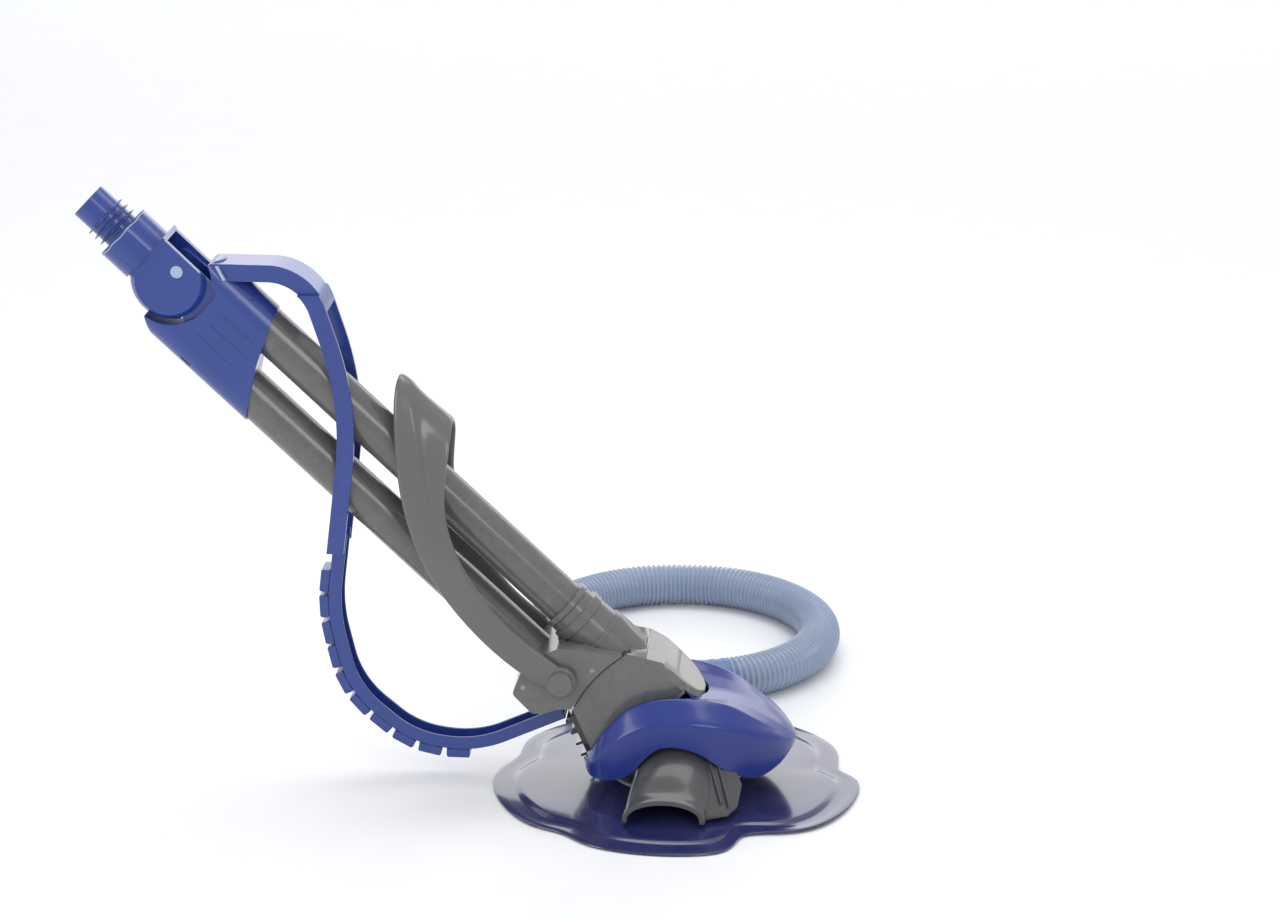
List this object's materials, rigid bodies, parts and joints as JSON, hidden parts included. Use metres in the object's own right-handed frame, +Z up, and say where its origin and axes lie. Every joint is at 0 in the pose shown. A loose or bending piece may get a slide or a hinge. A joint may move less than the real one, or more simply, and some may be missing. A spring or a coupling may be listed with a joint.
{
  "type": "pool cleaner",
  "caption": "Suction pool cleaner with a notched seal disc, domed foot, two long flow tubes, swivelling hose head, bumper strap, carrying bail and a hose section.",
  "frame": {"origin": "on the seal disc's spin axis, at floor level, in the middle of the suction mouth", "axes": "+X from the hose end towards the foot's bill, +Z up, +Y to the machine's left"},
  "size_m": [0.7724, 0.724, 0.6077],
  "materials": {
    "shell_blue": "glossy moulded plastic, medium blue",
    "hood_blue": "high gloss moulded plastic, deep royal blue",
    "body_grey": "satin moulded plastic, warm grey",
    "tube_grey": "smooth extruded plastic, warm grey",
    "wing_grey": "satin moulded plastic, dark grey",
    "seal_navy": "flexible polyurethane sheet, navy, semi-gloss",
    "black_rubber": "glossy black rubber",
    "hose_pale": "flexible corrugated plastic, pale blue",
    "cuff_blue": "soft moulded cuff, mid blue",
    "pin_pale": "pale moulded plastic",
    "weight_metal": "coated iron",
    "screw_steel": "stainless steel",
    "inner_white": "plain moulded plastic"
  },
  "bodies": {
    "foot": {"ballast_screws": "screw_steel", "ballast_weight": "weight_metal", "body_screws": "screw_steel", "flapper_stops": "black_rubber", "float_block": "shell_blue", "foot_frame": "wing_grey", "foot_pad": "black_rubber", "front_housing": "body_grey", "handle_studs": "body_grey", "hood": "hood_blue", "hose_cuff_a": "cuff_blue", "hose_cuff_b": "cuff_blue", "hose_tube": "hose_pale", "housing_gasket": "black_rubber", "lower_tube": "tube_grey", "manifold": "shell_blue", "rear_housing": "body_grey", "rubber_comb": "black_rubber", "seal_retaining_ring": "inner_white", "strap_blocks": "shell_blue", "strap_channel": "shell_blue", "strap_joint_bars": "shell_blue", "strap_rail_left": "shell_blue", "strap_rail_right": "shell_blue", "strap_top_band": "shell_blue", "tube_seals": "black_rubber", "tube_sleeve": "body_grey", "upper_tube": "tube_grey", "wing_left": "wing_grey", "wing_right": "wing_grey"},
    "handle": {"handle": "body_grey"},
    "knuckle": {"knuckle": "shell_blue", "knuckle_pins": "pin_pale", "swivel_race": "inner_white"},
    "nipple": {"hose_nipple": "shell_blue", "swivel_o_ring": "black_rubber"},
    "seal": {"seal_disc": "seal_navy", "seal_bush": "black_rubber"},
    "flapper": {"flapper": "inner_white", "flapper_pin": "screw_steel"}
  },
  "joints": [
    {"name": "handle_swing", "type": "hinge", "parent": "foot", "child": "handle", "pos_m": [-0.1127, 0, 0.12372], "axis": [0, 1, 0], "range_deg": [-4, 50]},
    {"name": "knuckle_tilt", "type": "hinge", "parent": "foot", "child": "knuckle", "pos_m": [-0.48474, 0, 0.53031], "axis": [0, 1, 0], "range_deg": [0, 55]},
    {"name": "nipple_spin", "type": "hinge", "parent": "knuckle", "child": "nipple", "pos_m": [-0.54158, 0, 0.56211], "axis": [0.7206, 0, -0.6934], "continuous": true},
    {"name": "seal_spin", "type": "hinge", "parent": "foot", "child": "seal", "pos_m": [0, 0, 0], "axis": [0, 0, 1], "continuous": true},
    {"name": "flapper_swing", "type": "hinge", "parent": "foot", "child": "flapper", "pos_m": [-0.03684, 0, 0.07709], "axis": [0, 1, 0], "range_deg": [-15, 15]}
  ]
}
